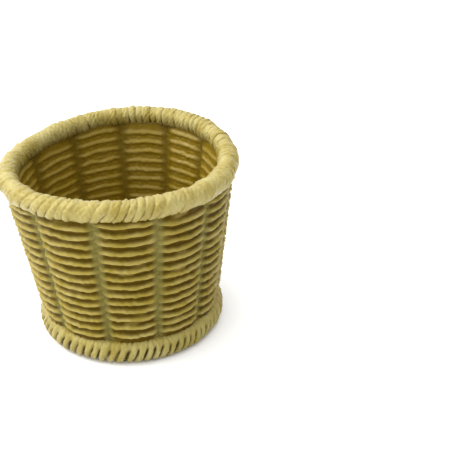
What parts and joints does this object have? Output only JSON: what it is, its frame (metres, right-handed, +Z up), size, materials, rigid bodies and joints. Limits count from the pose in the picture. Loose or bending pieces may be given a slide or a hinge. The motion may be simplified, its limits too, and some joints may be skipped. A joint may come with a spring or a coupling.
{
  "type": "small round woven basket",
  "caption": "Small round open basket: a slightly flared wall of paired strands woven in and out of upright stakes, a wrapped rim, a wrapped foot ring and a flat base.",
  "frame": {"origin": "on the table, right under the centre of the rim, which is the middle of the part's box from above; the foot's centre is 0.42 mm to the right of it and 1.2 mm in front, because the basket leans back a little", "axes": "+X to the viewer's right, +Y to the back, +Z up out of the open mouth"},
  "size_m": [0.031, 0.031, 0.0246],
  "materials": {
    "weave_strand": "satin",
    "rim_strand": "satin",
    "foot_strand": "satin",
    "stake": "satin",
    "ring_core": "satin",
    "base": "satin"
  },
  "bodies": {
    "root": {"base_disc": "base", "foot_hoop": "ring_core", "foot_wrapping": "foot_strand", "rim_hoop": "ring_core", "rim_wrapping": "rim_strand", "stake_01": "stake", "stake_02": "stake", "stake_03": "stake", "stake_04": "stake", "stake_05": "stake", "stake_06": "stake", "stake_07": "stake", "stake_08": "stake", "stake_09": "stake", "stake_10": "stake", "stake_11": "stake", "stake_12": "stake", "weaver_01_a": "weave_strand", "weaver_02_a": "weave_strand", "weaver_03_a": "weave_strand", "weaver_04_a": "weave_strand", "weaver_05_a": "weave_strand", "weaver_06_a": "weave_strand", "weaver_07_a": "weave_strand", "weaver_08_a": "weave_strand", "weaver_09_a": "weave_strand", "weaver_10_a": "weave_strand", "weaver_11_a": "weave_strand", "weaver_12_a": "weave_strand", "weaver_13_a": "weave_strand", "weaver_14_a": "weave_strand", "weaver_01_b": "weave_strand", "weaver_02_b": "weave_strand", "weaver_03_b": "weave_strand", "weaver_04_b": "weave_strand", "weaver_05_b": "weave_strand", "weaver_06_b": "weave_strand", "weaver_07_b": "weave_strand", "weaver_08_b": "weave_strand", "weaver_09_b": "weave_strand", "weaver_10_b": "weave_strand", "weaver_11_b": "weave_strand", "weaver_12_b": "weave_strand", "weaver_13_b": "weave_strand", "weaver_14_b": "weave_strand"}
  },
  "joints": []
}
